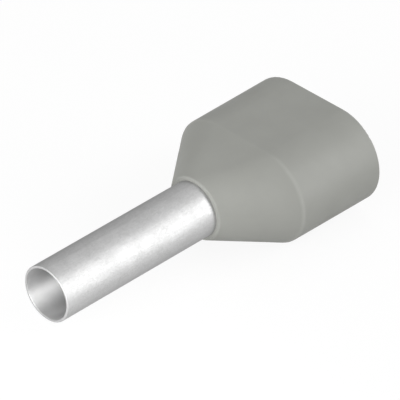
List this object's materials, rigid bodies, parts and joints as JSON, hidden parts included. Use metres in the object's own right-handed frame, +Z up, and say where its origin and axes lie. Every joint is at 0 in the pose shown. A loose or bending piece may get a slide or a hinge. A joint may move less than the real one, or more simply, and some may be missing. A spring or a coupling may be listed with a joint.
{
  "type": "twin wire ferrule",
  "caption": "Insulated crimp ferrule for two wires: a thin tinned tube in a plastic collar that tapers out to an oval, double-width wire entry.",
  "frame": {"origin": "on the floor, under the middle of the ferrule's box, as it lies on the flat underside of its collar", "axes": "+X along the sleeve from its tip to the wire entry, +Y across the wide way of the collar, +Z up"},
  "size_m": [0.023, 0.0106, 0.0064],
  "materials": {
    "tinned_copper": "satin, drawn along its length, tin plated",
    "grey_plastic": "smooth moulded, semi-matt, warm grey"
  },
  "bodies": {
    "root": {"crimp_sleeve": "tinned_copper", "insulating_collar": "grey_plastic"}
  },
  "joints": []
}
